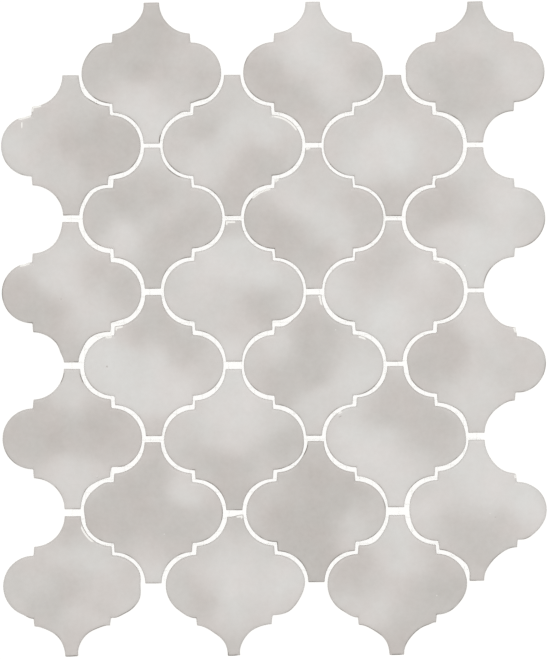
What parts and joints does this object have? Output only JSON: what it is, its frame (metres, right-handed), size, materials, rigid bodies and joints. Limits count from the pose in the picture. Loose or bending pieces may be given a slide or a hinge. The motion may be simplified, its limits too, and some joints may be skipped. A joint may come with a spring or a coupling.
{
  "type": "arabesque mosaic tile sheet",
  "caption": "Flat sheet of lantern-shaped glazed ceramic tiles in staggered rows with narrow open joints, held by a net of threads glued under their backs, for covering walls and floors.",
  "frame": {"origin": "middle of the sheet's footprint, on the surface that the net lies on", "axes": "+X to the right and +Y to the top of the sheet, seen from its face; +Z out of the glazed face"},
  "size_m": [0.2496, 0.3, 0.0084],
  "materials": {
    "glazed_tile": "gloss",
    "backing_net": "matte"
  },
  "bodies": {
    "root": {"tile_row_1_left": "glazed_tile", "tile_row_1_middle": "glazed_tile", "tile_row_1_right": "glazed_tile", "tile_row_2_left": "glazed_tile", "tile_row_2_middle": "glazed_tile", "tile_row_2_right": "glazed_tile", "tile_row_3_left": "glazed_tile", "tile_row_3_middle": "glazed_tile", "tile_row_3_right": "glazed_tile", "tile_row_4_left": "glazed_tile", "tile_row_4_middle": "glazed_tile", "tile_row_4_right": "glazed_tile", "tile_row_5_left": "glazed_tile", "tile_row_5_middle": "glazed_tile", "tile_row_5_right": "glazed_tile", "tile_row_6_left": "glazed_tile", "tile_row_6_middle": "glazed_tile", "tile_row_6_right": "glazed_tile", "tile_row_7_left": "glazed_tile", "tile_row_7_middle": "glazed_tile", "tile_row_7_right": "glazed_tile", "tile_row_8_left": "glazed_tile", "tile_row_8_middle": "glazed_tile", "tile_row_8_right": "glazed_tile", "net_lengthwise_threads": "backing_net", "net_crosswise_threads": "backing_net"}
  },
  "joints": []
}
